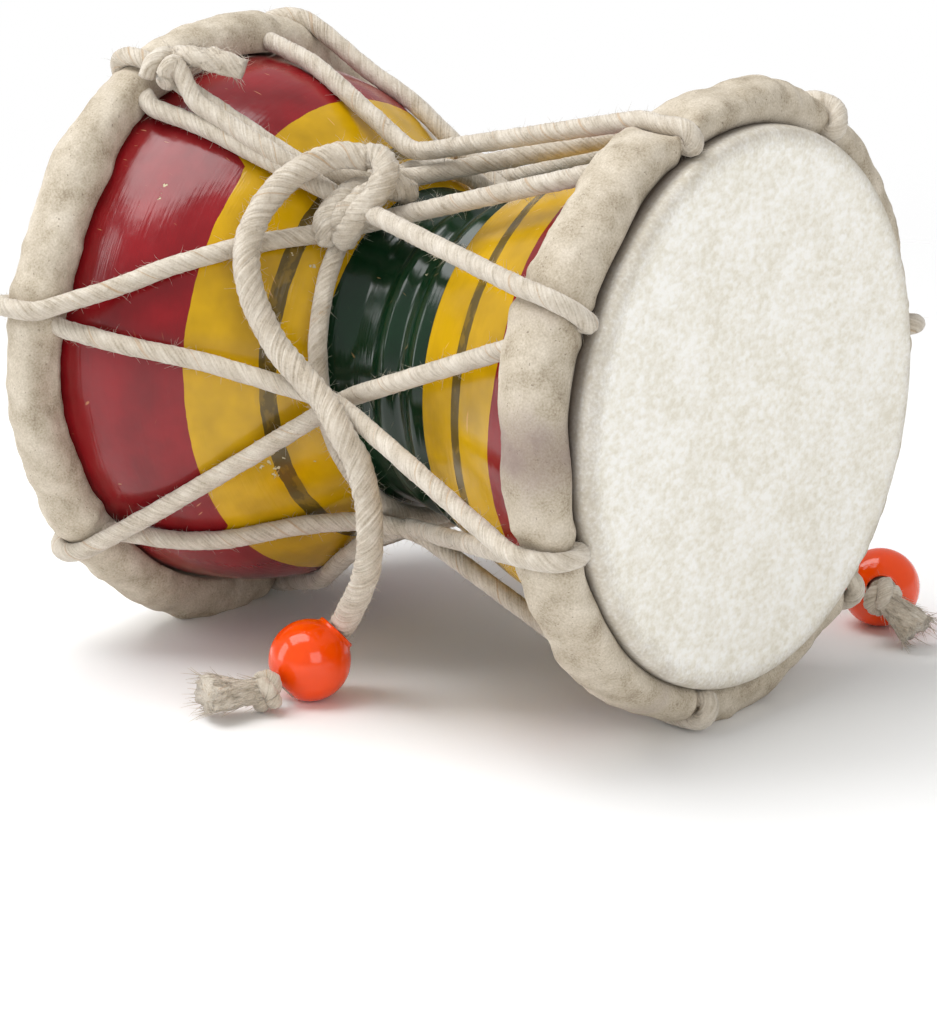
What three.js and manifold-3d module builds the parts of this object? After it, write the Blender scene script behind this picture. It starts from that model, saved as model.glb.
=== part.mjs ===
// A small damaru, the two-headed hourglass drum, lying on its side on both rims.
// Millimetres, +Z up. The drum's axis runs along X at a height of AXIS_HEIGHT above the floor, z = 0.
// Places round the drum are given as (x, r, angle): along the axis, out from it, and the angle in
// degrees up from the side that faces -Y, so that 90 is the top and -90 the floor.

import * as THREE from 'three';
import { mergeVertices } from 'three/addons/utils/BufferGeometryUtils.js';
import Module from 'manifold-3d';

const wasm = await Module();
wasm.setup();

// ---- driving dimensions ---------------------------------------------------------------------

const AXIS_HEIGHT = 47.5; // the rims are about 95 mm across
const GAP = 0.3; // clearance kept between pieces that touch

const SHELL_SIDES = 30;
const MOUTH_X = 54; // where the wood ends at each side
// the turned outside of the wooden shell, from the left mouth to the right one: [x, radius]
const SHELL_OUTSIDE = [
  [-MOUTH_X, 40.2], [-43, 41.2], [-35, 40.6], [-28, 38.8], [-22, 35.7], [-14, 29.9], [-7, 25.0],
  [-2.5, 22.9], [1.6, 22.8], // the bare cove of the waist
  [2.8, 23.9], [4.4, 24.3], [6.6, 23.4], // first turned bead
  [8.4, 23.9], [9.6, 25.6], [11.4, 26.5], [13.6, 26.1], // second turned bead
  [14.6, 27.8], [23.3, 31.9], [32.6, 35.2], [42, 38.0], [MOUTH_X, 40.2],
];
// the two bowls inside, which meet in a narrow bore at the waist, from right to left
const SHELL_INSIDE = [
  [MOUTH_X, 35.6], [36, 31.4], [18, 23.0], [5, 9.0],
  [-5, 9.0], [-14, 23.0], [-27, 33.2], [-43, 36.4], [-MOUTH_X, 35.8],
];

const FACE_X = 55.1; // outside of each drum skin
const SKIN = 0.8; // thickness of the hide
const FACE_FLAT_RADIUS = 39.8; // flat part of a skin, inside its rounded shoulder
const COLLAR_RADIUS = 41.4; // the skin where it is turned down over the mouth
const COLLAR_CLEARANCE = 0.6; // round the wood, more than the gap because both have flat sides
const FACE_EDGE = 0.6; // how far the face's rounded edge drops
const GROOVE_X = 51.4; // bottom of the groove between collar and rolled rim

const CORD_RADIUS = 1.45; // the thin cotton lacing cord
const CORD_SIDES = 5;
const STRIKER_RADIUS = 2.05; // the thick cotton cord of the strikers
const STRIKER_SIDES = 8;
const KNOT_SIDES = 6;
const BEAD_RADIUS = 6.2;
const END_KNOT_RADIUS = 3.2;

const LOOPS = 7; // the lacing passes over each rim seven times
const REST_PRESS = 0.6; // what lies this low on a rim is pressed flat against the floor

// Each rolled rim: the middle of its section, its half width along the axis and its half height.
// waves: [angle, waist-side edge moved towards the waist, skin-side edge moved towards the skin,
// height gained], because hide rolled by hand is never even.
// loops: angle of each lacing loop; pinch: how deep it presses in; slant: how much further round it
// starts at the waist side; drift: how far back it has gone where it comes out below the roll.
// tunnel: how far out the cord lies in the roll, at the groove and where it comes out.
const RIGHT_RIM = {
  side: 1, x: 46.9, radius: 43.5, halfWidth: 5.2, halfHeight: 4.0,
  waves: [
    [-95, 0, 0.4, 1.3], [-82, 0, 0.4, 1.6], [-66, -0.4, 0.8, -0.9], [-52, -0.6, 0.8, -0.4], [-35, -1.9, 1.2, -0.5],
    [-15, -1.6, 0.5, 0], [-2, -0.8, 1.0, 0], [10, 0.6, -0.4, 0], [22, 1.8, -0.6, 0.1],
    [45, -0.3, 0.3, 0], [58, 0.8, -0.8, -0.3], [88, -0.4, 0, -1.3], [104, 0, 0, 0.1],
    [128, 0, 0, 0.5], [174, 0.3, -0.3, 0.9], [222, -0.5, 0.4, 0.3],
  ],
  loops: [119, 71, 27, -17, -77, -131, -186],
  pinch: [1.2, 3.0, 0.6, 1.6, 2.1, 1.2, 1.2],
  slant: [3, 2, 3, 0.5, -3, 3, 3],
  drift: [8, 12, 6.5, 4, -6.5, 7, 7],
  tunnel: [43.3, 42.8],
};
const LEFT_RIM = {
  side: -1, x: -46.9, radius: 43.6, halfWidth: 4.6, halfHeight: 4.2,
  waves: [
    [-95, 0, 0.2, 1.3], [-82, 0, 0.2, 1.4], [-62, 0.4, 0, 0], [-34, 0.4, 0.3, -0.4], [-15, -1.0, 0.4, -0.2],
    [-5, -2.0, 0.6, 0.2], [12, 0, 0.2, 0.2], [28, 0.2, 0, -0.6], [40, -0.3, 0, 0.1],
    [55, -1.2, 0, -0.3], [85, 0, 0, -0.2], [140, 0.3, 0.2, 0.3], [200, -0.5, 0, 0],
  ],
  loops: [109, 67, 11, -43.5, -104, -154, -204],
  pinch: [0.8, 1.0, 0.3, 0.6, 2.3, 1.0, 1.0],
  slant: [3, -2, 0, 4.5, 4, 3, 3],
  drift: [12.5, 9, 3, -5, 8, 8, 8],
  tunnel: [44.2, 43.5],
};
const ROLL_PHASES = [-32, 0, 40, 80, 120, 155, 190]; // points round a rim's section
const OVER_PHASES = [120, 80, 40, 0]; // those that the lacing passes over
const SNUG = 0.7; // how deep every loop lies in the hide, besides its own pinch
const OVER_LIFT = CORD_RADIUS + GAP + 0.25; // from the hide to the middle of the cord on it

// Where the lacing is drawn together at the waist, one crossing for each loop: the places
// [x, radius, angle] that its upper and its lower strand pass through.
const CROSSINGS = [
  { upper: [[-5, 31, 130]], lower: [[-5, 28, 130]] },
  { upper: [[-6.5, 31.2, 84]], lower: [[-33, 43.2, 62.5], [-16.5, 34.9, 60], [-9, 31, 65], [-5, 28.2, 80]] },
  { upper: [[-6, 31.2, 55]], lower: [[-9.5, 28.8, 47.5], [-1.5, 28.2, 57]] },
  { upper: [[-20, 36.7, 5], [0.6, 30.2, -2]], lower: [[0.6, 27.4, -2]] },
  { upper: [[-6, 28.4, -55], [4.5, 28.2, -57]], lower: [[-9, 30.6, -67], [0.5, 27.4, -60]] },
  { upper: [[-3, 31, -118]], lower: [[-3, 28, -118]] },
  { upper: [[-3, 31, -168]], lower: [[-3, 28, -168]] },
];
const LOWER_GOES_OVER = 4; // the right-hand loop where the lower strand takes the outside of the rim

// ---- geometry helpers -----------------------------------------------------------------------

/** A point at x along the drum's axis, r out from it and an angle up from the -Y side. */
function around(x, r, degrees) {
  const angle = THREE.MathUtils.degToRad(degrees);
  return new THREE.Vector3(x, -r * Math.cos(angle), AXIS_HEIGHT + r * Math.sin(angle));
}

/** Straight-line interpolation in a table of rows sorted by their first number. */
function lookUp(table, key, column) {
  const next = Math.max(1, table.findIndex((row) => row[0] >= key));
  const [low, high] = [table[next - 1], table[next]];
  return THREE.MathUtils.mapLinear(key, low[0], high[0], low[column], high[column]);
}

const shellRadius = (x) => lookUp(SHELL_OUTSIDE, x, 1);

/** Smooth interpolation between the waves of a rim, which repeat every full turn. */
function waveAt(waves, degrees, column) {
  const first = waves[0][0];
  const angle = first + THREE.MathUtils.euclideanModulo(degrees - first, 360);
  const rows = [...waves, [first + 360, ...waves[0].slice(1)]];
  const next = Math.max(1, rows.findIndex((row) => row[0] >= angle));
  const [low, high] = [rows[next - 1], rows[next]];
  const share = THREE.MathUtils.smoothstep(angle, low[0], high[0]);
  return THREE.MathUtils.lerp(low[column], high[column], share);
}

/** A closed body from rows of points: every row is a closed ring, and the ends are capped. */
function skinRows(rows, closeEnds = true) {
  const count = rows[0].length;
  const positions = rows.flat().flatMap((point) => point.toArray());
  const index = [];
  for (let i = 0; i < rows.length - 1; i++) {
    for (let j = 0; j < count; j++) {
      const [a, b] = [i * count + j, i * count + ((j + 1) % count)];
      index.push(a, b, a + count, b, b + count, a + count);
    }
  }
  if (closeEnds) {
    const last = (rows.length - 1) * count;
    for (let j = 1; j < count - 1; j++) {
      index.push(0, j + 1, j);
      index.push(last, last + j, last + j + 1);
    }
  }
  const geometry = new THREE.BufferGeometry();
  geometry.setAttribute('position', new THREE.Float32BufferAttribute(positions, 3));
  geometry.setIndex(index);
  return geometry;
}

/** A manifold solid of a closed geometry. */
function solid(geometry) {
  const bare = geometry.clone();
  bare.deleteAttribute('normal');
  bare.deleteAttribute('uv');
  const merged = mergeVertices(bare, 1e-4);
  const corners = merged.index.array;
  const triangles = [];
  for (let i = 0; i < corners.length; i += 3) {
    const [a, b, c] = corners.subarray(i, i + 3);
    if (a !== b && b !== c && c !== a) triangles.push(a, b, c);
  }
  return new wasm.Manifold(new wasm.Mesh({
    numProp: 3,
    vertProperties: new Float32Array(merged.attributes.position.array),
    triVerts: new Uint32Array(triangles),
  }));
}

/** The geometry of a manifold solid. */
function geometryOf(manifold) {
  const mesh = manifold.getMesh();
  const geometry = new THREE.BufferGeometry();
  geometry.setAttribute('position', new THREE.BufferAttribute(mesh.vertProperties, 3));
  geometry.setIndex(new THREE.BufferAttribute(mesh.triVerts, 1));
  return geometry;
}

const joined = (solids) => solids.reduce((sum, next) => sum.add(next));

/** The one body of a cut or joined solid, without the specks that rounding can leave. */
const body = (manifold) => manifold.decompose().reduce((a, b) => (a.volume() > b.volume() ? a : b));

/** The polyline that a cord follows, with one station at each of its points. */
class Route extends THREE.Curve {
  constructor(points) {
    super();
    this.points = points;
  }

  getPointAt(u) {
    const place = u * (this.points.length - 1);
    const from = Math.min(Math.floor(place), this.points.length - 2);
    return this.points[from].clone().lerp(this.points[from + 1], place - from);
  }

  getTangentAt(u) {
    const at = Math.round(u * (this.points.length - 1));
    const before = this.points[Math.max(at - 1, 0)];
    const after = this.points[Math.min(at + 1, this.points.length - 1)];
    return after.clone().sub(before).normalize();
  }
}

/** A cord: a section with flat sides carried along a route. */
function cord(points, radius, sides) {
  const section = new THREE.Shape();
  for (let i = 0; i < sides; i++) {
    const angle = (2 * Math.PI * i) / sides;
    section[i ? 'lineTo' : 'moveTo'](radius * Math.cos(angle), radius * Math.sin(angle));
  }
  return new THREE.ExtrudeGeometry(section, { steps: points.length - 1, extrudePath: new Route(points) });
}

/** Points spread evenly along a smooth curve through the given ones. */
function smooth(points, steps) {
  return new THREE.CatmullRomCurve3(points, false, 'centripetal').getSpacedPoints(steps);
}

// ---- shell ----------------------------------------------------------------------------------

/** The wooden shell, turned about the X axis: an hourglass with two bowls and a bore. */
function shell() {
  const outline = [...SHELL_OUTSIDE, ...SHELL_INSIDE, SHELL_OUTSIDE[0]];
  const profile = outline.map(([x, r]) => new THREE.Vector2(r, x));
  const turned = new THREE.LatheGeometry(profile, SHELL_SIDES);
  turned.rotateZ(-Math.PI / 2); // the lathe turns about Y
  turned.translate(0, 0, AXIS_HEIGHT);
  return turned;
}

// ---- heads ----------------------------------------------------------------------------------

/** The station of a rim right under one of its loops. */
function loopStation(rim, i) {
  return { angle: rim.loops[i], slant: rim.slant[i], snug: SNUG, pinch: rim.pinch[i] };
}

/** The stations round a head: three at each loop, and evenly spread ones between the loops. */
function headStations(rim) {
  const BESIDE_LOOP = 5.5;
  const BESIDE_SHARE = 0.3; // how much of the pinch is left there
  const WIDEST_STEP = 13;
  return rim.loops.flatMap((loop, i) => {
    const next = rim.loops[(i + 1) % LOOPS] - (i === LOOPS - 1 ? 360 : 0);
    const { slant, snug, pinch } = loopStation(rim, i);
    const side = { slant, snug: snug * BESIDE_SHARE, pinch: pinch * BESIDE_SHARE };
    const from = loop - BESIDE_LOOP;
    const span = from - next - BESIDE_LOOP;
    const steps = Math.ceil(span / WIDEST_STEP);
    const between = Array.from({ length: steps - 1 }, (_, k) => {
      return { angle: from - (span * (k + 1)) / steps, slant: 0, snug: 0, pinch: 0 };
    });
    const atLoop = [{ angle: loop + BESIDE_LOOP, ...side }, loopStation(rim, i), { angle: from, ...side }];
    return [...atLoop, ...between];
  });
}

/** A point of a rolled rim's section, or of a cord that lies on it: phase 0 faces the skin, 90 out. */
function rollPoint(rim, station, phase, lift = 0) {
  const turn = THREE.MathUtils.degToRad(phase);
  const [across, out] = [Math.cos(turn), Math.sin(turn)];
  const edge = waveAt(rim.waves, station.angle, across < 0 ? 1 : 2) * Math.abs(across);
  const rise = (waveAt(rim.waves, station.angle, 3) - station.pinch) * Math.max(out, 0);
  const x = rim.x + rim.side * across * (rim.halfWidth + edge + lift - station.snug);
  const r = rim.radius + out * (rim.halfHeight + rise + lift - station.snug);
  const point = around(x, r, station.angle + (station.slant * Math.max(phase, 0)) / OVER_PHASES[0]);
  if (point.z < lift + REST_PRESS) point.z = lift; // pressed flat where the drum lies on it
  return point;
}

/** A hide head in one piece: the skin over the mouth, its collar and its rolled rim. */
function head(rim) {
  const s = rim.side;
  const face = [
    [FACE_X, 0],
    [FACE_X, FACE_FLAT_RADIUS],
    [FACE_X - FACE_EDGE, COLLAR_RADIUS],
    [GROOVE_X, COLLAR_RADIUS],
  ];
  const mouth = shellRadius(s * MOUTH_X) + COLLAR_CLEARANCE;
  const inside = [[MOUTH_X, mouth], [FACE_X - SKIN, mouth], [FACE_X - SKIN, 0]];
  const rows = headStations(rim).map((station) => {
    const roll = ROLL_PHASES.map((phase) => rollPoint(rim, station, phase));
    const foot = roll[roll.length - 1].x;
    return [
      ...face.map(([x, r]) => around(s * x, r, station.angle)),
      ...roll,
      around(foot, shellRadius(foot) + COLLAR_CLEARANCE, station.angle),
      ...inside.map(([x, r]) => around(s * x, r, station.angle)),
    ];
  });
  if (s < 0) rows.reverse(); // mirrored, so that it faces outwards
  return skinRows([...rows, rows[0]], false);
}

// ---- lacing ---------------------------------------------------------------------------------

/** Where a loop goes into its rim, at the groove. */
const tunnelMouth = (rim, i) => around(rim.side * (GROOVE_X - 0.4), rim.tunnel[0], rim.loops[i]);

const INNER_START = 0.96; // the strand inside a rim meets the one over it just below the groove

/** The strand through a rolled rim, from the groove to its waist side. */
function throughRim(rim, i) {
  const outlet = around(rim.side * 41.2, rim.tunnel[1], rim.loops[i] - rim.drift[i]);
  return [outlet.clone().lerp(tunnelMouth(rim, i), INNER_START), outlet];
}

/** The strand over the outside of a rolled rim, from its waist side down into the groove. */
function overRim(rim, i) {
  const station = loopStation(rim, i);
  const over = OVER_PHASES.map((phase) => rollPoint(rim, station, phase, OVER_LIFT));
  return [...over, tunnelMouth(rim, i)];
}

/** Points that lift a straight strand off the shell's bowl, where it would run through the wood. */
function overBowl(from, to) {
  const STOPS = [0.14, 0.3, 0.5, 0.75];
  return STOPS.flatMap((share) => {
    const point = from.clone().lerp(to, share);
    const out = new THREE.Vector2(point.y, point.z - AXIS_HEIGHT);
    const least = shellRadius(point.x) + GAP + CORD_RADIUS + 0.45;
    if (out.length() >= least) return [];
    out.setLength(least);
    return [new THREE.Vector3(point.x, out.x, out.y + AXIS_HEIGHT)];
  });
}

/** A strand's end at the right rim: over its outside, or through it. */
const rightEnd = (i, goesOver) => (goesOver ? overRim(RIGHT_RIM, i) : throughRim(RIGHT_RIM, i).reverse());

/** All strands of the lacing, each a list of points from the left rim to the right one. */
function lacingStrands() {
  const strands = [];
  for (let i = 0; i < LOOPS; i++) {
    const previous = (i + LOOPS - 1) % LOOPS;
    const upper = CROSSINGS[i].upper.map((place) => around(...place));
    const lower = CROSSINGS[i].lower.map((place) => around(...place));
    const through = throughRim(LEFT_RIM, previous);
    const over = overRim(LEFT_RIM, i).reverse();
    const upperEnd = rightEnd(i, i !== LOWER_GOES_OVER);
    const lowerEnd = rightEnd(previous, previous === LOWER_GOES_OVER);
    strands.push([...through, ...overBowl(through[1], upper[0]), ...upper, ...upperEnd]);
    strands.push([...over, ...overBowl(over[over.length - 1], lower[0]), ...lower, ...lowerEnd]);
  }
  return strands;
}

/** The turn that the cord's tail takes round the waist, below the crossings. */
function waistTurn() {
  const STEPS = 20;
  const SWING = 2.9;
  const MIDDLE_X = -5.4;
  return Array.from({ length: STEPS + 1 }, (_, i) => {
    const angle = 55 - (360 * i) / STEPS;
    const x = MIDDLE_X - SWING * Math.sin(THREE.MathUtils.degToRad(angle + 5));
    return around(x, shellRadius(x) + GAP + CORD_RADIUS + 0.35, angle);
  });
}

/** The knot that ties the lacing's ends beside the left rim, with one tail that runs to the waist. */
function tieKnot() {
  const STEPS = 12;
  const TURNS = 1.25;
  const turns = Array.from({ length: STEPS + 1 }, (_, i) => {
    const turn = (2 * Math.PI * TURNS * i) / STEPS;
    return around(-41.4 + 0.35 * i, 47.9 + 1.7 * Math.sin(turn), 63.5 - 3 * Math.cos(turn));
  });
  return [...turns, around(-33, 44.6, 59.8), around(-20, 38.6, 57.5), around(-9, 30.5, 57)];
}

// the frayed short end of the tie knot
const TUFT = [[-39, 48.4, 66], [-35, 49.2, 66], [-31, 48.6, 66.5], [-27.5, 46.8, 68]];

/** A strand's points with both ends drawn out by the same length. */
function drawnOut(points, extra) {
  const [first, second] = points;
  const [beforeLast, last] = points.slice(-2);
  const start = first.clone().addScaledVector(first.clone().sub(second).normalize(), extra);
  const end = last.clone().addScaledVector(last.clone().sub(beforeLast).normalize(), extra);
  return [start, ...points.slice(1, -1), end];
}

/** The lacing as one solid; grown makes it larger all over, to cut its channel elsewhere. */
function lacing(grown = 0) {
  const radius = CORD_RADIUS + grown;
  const strands = lacingStrands().map((points) => solid(cord(drawnOut(points, grown), radius, CORD_SIDES)));
  const tuft = TUFT.map((place) => around(...place));
  return joined([
    ...strands,
    solid(cord(waistTurn(), radius, CORD_SIDES)),
    solid(cord(tieKnot(), radius, CORD_SIDES)),
    solid(cord(tuft, radius + 0.4, CORD_SIDES)),
  ]);
}

// ---- strikers -------------------------------------------------------------------------------

// Front striker: leaves the knot at the waist, arches over the lacing and drops to the floor.
const FRONT_ROUTE = [
  [-4.8, -15.9, 79.9], [-8, -17.6, 80.2], [-11.4, -21, 79], [-14, -25.1, 76.1], [-15.3, -28.8, 72],
  [-14.8, -32, 67.6], [-13.2, -33.5, 63], [-11, -33.6, 58.4], [-7.4, -34, 54.2], [-2.6, -34.4, 50.8],
  [2, -34.6, 47.4], [5.8, -35.6, 43.9], [8.6, -35.1, 39.4], [10.2, -35, 34.6], [10.9, -35.2, 30],
  [10, -34.4, 25], [7.2, -32.6, 20], [3.6, -30.4, 15.8], [0.6, -28.2, 12.8],
];
const FRONT_BEAD = { middle: [-3.9, -31.5, 6.2], hole: [0.38, 0.62, 0.68] };
const FRONT_KNOT = { middle: [-4.9, -40.4, 3.3], tail: [-9.3, -48.8, 4.1], spread: 4.3 };

// Back striker: leaves its knot on the far side of the waist, drops to the floor and curls forward.
const BACK_ROUTE = [
  [-0.6, 38.6, 41], [1.4, 39.8, 37.6], [2.6, 40.4, 33], [3.6, 40.8, 27.5], [4.8, 41, 21],
  [6.4, 41.4, 14.6], [8.8, 42.6, 8.4], [12.4, 45.2, 4], [17.4, 49.2, 2.3], [22.8, 53.6, 2.15],
  [27.8, 58.2, 2.15], [32.2, 62.2, 2.3], [36.6, 62.6, 3.4],
];
const BACK_BEAD = { middle: [42, 53.7, 6.2], hole: [-0.56, 0.81, -0.15] };
const BACK_KNOT = { middle: [47.3, 46.1, 7.4], tail: [53.4, 46.6, 2.9], spread: 3.6 };

const vector = (list) => new THREE.Vector3(...list);

/** A striker's route with its stations: smooth as far as its bead, then straight through that. */
function strikerRoute(route, bead, steps) {
  const hole = vector(bead.hole).normalize();
  const inBead = [1.1, 0, -0.94].map((share) => {
    return vector(bead.middle).addScaledVector(hole, share * BEAD_RADIUS);
  });
  return [...smooth([...route.map(vector), inBead[0]], steps), ...inBead.slice(1)];
}

/** The free cord of a striker. */
function strikerCord(route, bead, steps) {
  return cord(strikerRoute(route, bead, steps), STRIKER_RADIUS, STRIKER_SIDES);
}

/** A moulded bead with its bore and the small raised lip round one end of it. */
function bead({ middle, hole }) {
  const BORE = STRIKER_RADIUS + GAP + 0.15;
  const ARC_STEPS = 6;
  const LIP = 0.5;
  const start = Math.asin(BORE / BEAD_RADIUS);
  const profile = [];
  for (let i = 0; i <= ARC_STEPS; i++) {
    const angle = -Math.PI / 2 + start + ((Math.PI - 2 * start) * i) / ARC_STEPS;
    profile.push(new THREE.Vector2(BEAD_RADIUS * Math.cos(angle), BEAD_RADIUS * Math.sin(angle)));
  }
  const top = profile.pop();
  profile.push(new THREE.Vector2(top.x + 0.9, top.y - 0.2));
  profile.push(new THREE.Vector2(top.x + 0.8, top.y + LIP));
  profile.push(new THREE.Vector2(top.x, top.y + LIP));
  profile.push(profile[0].clone());
  const geometry = new THREE.LatheGeometry(profile, 12);
  const latheAxis = new THREE.Vector3(0, 1, 0);
  geometry.applyQuaternion(new THREE.Quaternion().setFromUnitVectors(latheAxis, vector(hole).normalize()));
  geometry.translate(...middle);
  return geometry;
}

/** An end knot and its frayed tassel: a lumpy ball, then a flat brush that spreads to its cut end. */
function endKnot({ middle, tail, spread }) {
  const centre = vector(middle);
  const run = vector(tail).sub(centre);
  const ball = new THREE.SphereGeometry(END_KNOT_RADIUS, 10, 6);
  ball.rotateX(Math.PI / 2);
  ball.translate(...middle);
  const side = new THREE.Vector3().crossVectors(new THREE.Vector3(0, 0, 1), run).normalize();
  const up = new THREE.Vector3().crossVectors(run, side).normalize();
  // share of the way, half width, half height
  const BRUSH = [[0.1, 2.0, 1.9], [0.42, 2.4, 2.0], [0.7, spread * 0.8, 2.5], [1, spread, 2.8]];
  const SIDES = 10;
  const rows = BRUSH.map(([share, width, height]) => Array.from({ length: SIDES }, (_, i) => {
    const angle = (2 * Math.PI * i) / SIDES;
    const point = centre.clone().addScaledVector(run, share);
    point.addScaledVector(side, width * Math.cos(angle));
    point.addScaledVector(up, height * Math.sin(angle));
    point.z = Math.max(point.z, 0.1);
    return point;
  }));
  const brush = skinRows(rows);
  return joined([solid(ball), solid(brush)]);
}

/** The turns of thick cord that tie a striker round the gathered lacing at the waist. */
function waistKnot(turns) {
  return joined(turns.map((places) => {
    const points = places.map((place) => around(...place));
    return solid(cord(smooth(points, 6), STRIKER_RADIUS, KNOT_SIDES));
  }));
}

// each turn of a knot goes over the gathered strands, from one side of them to the other
const FRONT_TURNS = [
  [[-8.6, 28.9, 44.5], [-8.3, 31.6, 47], [-7.4, 32.4, 53.5], [-6.2, 31.6, 60.5], [-5.6, 28.8, 64.5]],
  [[-7.2, 29, 46.5], [-5, 32.4, 50], [-2.6, 33.4, 55], [-0.8, 32.8, 61], [0, 29.6, 66]],
  [[-2.6, 29.5, 71], [-1.2, 33, 68], [0.2, 34, 61], [0.9, 33, 53.5], [0.6, 29.4, 47.5]],
];
const BACK_TURNS = [
  [
    [-5.5, 27.4, -181], [-5.4, 31, -180.5], [-5, 34, -174], [-4.6, 34.2, -166], [-4.2, 31, -158],
    [-4, 27.5, -157],
  ],
  [
    [-0.5, 27, -179], [-0.4, 31, -179], [-1, 34, -172], [-1.6, 34, -164], [-2, 31, -157],
    [-2, 27.5, -157],
  ],
];

// ---- assembly -------------------------------------------------------------------------------

const MATERIALS = {
  lacquer: { color: 0x8b1a22, roughness: 0.25, metalness: 0 },
  hide: { color: 0xd8d2c6, roughness: 0.85, metalness: 0 },
  cotton: { color: 0xd6cec2, roughness: 0.9, metalness: 0 },
  bead: { color: 0xf25410, roughness: 0.15, metalness: 0 },
};

const damaru = new THREE.Group();

/** Adds one named piece, as geometry or as a manifold solid, with a material of its own. */
function piece(name, shape, material) {
  const geometry = shape.isBufferGeometry ? shape : geometryOf(shape);
  const mesh = new THREE.Mesh(geometry, new THREE.MeshStandardMaterial(MATERIALS[material]));
  mesh.name = name;
  damaru.add(mesh);
}

const shellGeometry = shell();
const channel = lacing(GAP);

piece('shell', shellGeometry, 'lacquer');
piece('left_head', body(solid(head(LEFT_RIM)).subtract(channel)), 'hide');
piece('right_head', body(solid(head(RIGHT_RIM)).subtract(channel)), 'hide');
piece('lacing', body(lacing()), 'cotton');
piece('waist_knot_front', body(waistKnot(FRONT_TURNS).subtract(channel)), 'cotton');
piece('waist_knot_back', body(waistKnot(BACK_TURNS).subtract(channel)), 'cotton');
piece('striker_cord_front', strikerCord(FRONT_ROUTE, FRONT_BEAD, 26), 'cotton');
piece('striker_cord_back', strikerCord(BACK_ROUTE, BACK_BEAD, 20), 'cotton');
piece('bead_front', bead(FRONT_BEAD), 'bead');
piece('bead_back', bead(BACK_BEAD), 'bead');
piece('end_knot_front', endKnot(FRONT_KNOT), 'cotton');
piece('end_knot_back', endKnot(BACK_KNOT), 'cotton');

export default damaru;
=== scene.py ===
"""A small damaru, the two-headed hourglass drum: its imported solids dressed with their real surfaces.

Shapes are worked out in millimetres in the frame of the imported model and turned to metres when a
mesh is made. Places round the drum are (x, r, angle): along its axis, out from it, and the angle in
degrees up from the side that faces -Y, so that 90 is the top and -90 the floor.
"""

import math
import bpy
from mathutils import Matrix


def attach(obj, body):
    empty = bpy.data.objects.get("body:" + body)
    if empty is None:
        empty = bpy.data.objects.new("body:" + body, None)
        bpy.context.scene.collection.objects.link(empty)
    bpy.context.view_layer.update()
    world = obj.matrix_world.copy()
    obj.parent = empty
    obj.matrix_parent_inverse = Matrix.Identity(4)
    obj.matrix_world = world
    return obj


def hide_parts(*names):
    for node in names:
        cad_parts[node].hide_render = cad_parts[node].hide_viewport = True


bl_info = {
    "name": "Damaru drum",
    "version": (1, 0, 0),
    "blender": (4, 5, 0),
    "location": "View3D > Sidebar > Damaru",
    "description": "Lacquered shell, hide heads, cotton lacing and bead strikers of a small damaru",
    "category": "Add Mesh",
}

from collections import namedtuple

import bpy
import numpy as np
from bpy.props import FloatProperty, FloatVectorProperty, IntProperty, PointerProperty
from mathutils import Vector

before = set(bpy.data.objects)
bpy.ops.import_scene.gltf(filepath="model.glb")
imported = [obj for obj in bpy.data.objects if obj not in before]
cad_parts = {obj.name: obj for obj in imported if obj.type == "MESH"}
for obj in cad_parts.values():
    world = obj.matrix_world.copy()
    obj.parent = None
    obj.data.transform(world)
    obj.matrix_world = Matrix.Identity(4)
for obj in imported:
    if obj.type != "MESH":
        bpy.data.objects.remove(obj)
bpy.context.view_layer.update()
MM = 0.001

# ---- driving dimensions, in millimetres, as the solids have them ------------------------------

AXIS_HEIGHT = 47.5
GAP = 0.3
MOUTH_X = 54
HIDE_CLEARANCE = 0.6  # between the wood and the hide turned over it
SHELL_OUTSIDE = np.array([
    (-54, 40.2), (-43, 41.2), (-35, 40.6), (-28, 38.8), (-22, 35.7), (-14, 29.9), (-7, 25.0),
    (-2.5, 22.9), (1.6, 22.8), (2.8, 23.9), (4.4, 24.3), (6.6, 23.4), (8.4, 23.9), (9.6, 25.6),
    (11.4, 26.5), (13.6, 26.1), (14.6, 27.8), (23.3, 31.9), (32.6, 35.2), (42, 38.0), (54, 40.2),
])
SHELL_INSIDE = np.array([
    (54, 35.6), (36, 31.4), (18, 23.0), (5, 9.0), (-5, 9.0), (-14, 23.0), (-27, 33.2), (-43, 36.4),
    (-54, 35.8),
])
FACE_X = 55.1
SKIN = 0.8
COLLAR_RADIUS = 41.4
GROOVE_X = 51.4
SHOULDER_RADIUS = 38  # where the skin starts to turn down
SHOULDER_POWER = 0.5  # 1 is an ellipse; this is squarer, and stays outside the wall behind it
TUNNEL_X = GROOVE_X - 0.4  # where a lacing strand goes into its rim
OUTLET_X = 41.2  # where it comes out on the waist side
SLANT_PHASE = 120  # a loop has run its whole slant at this phase
LACING_RADIUS = 1.45
LACING_YARNS = 7
STRIKER_RADIUS = 2.05
STRIKER_YARNS = 6
BEAD_RADIUS = 6.2

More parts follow.
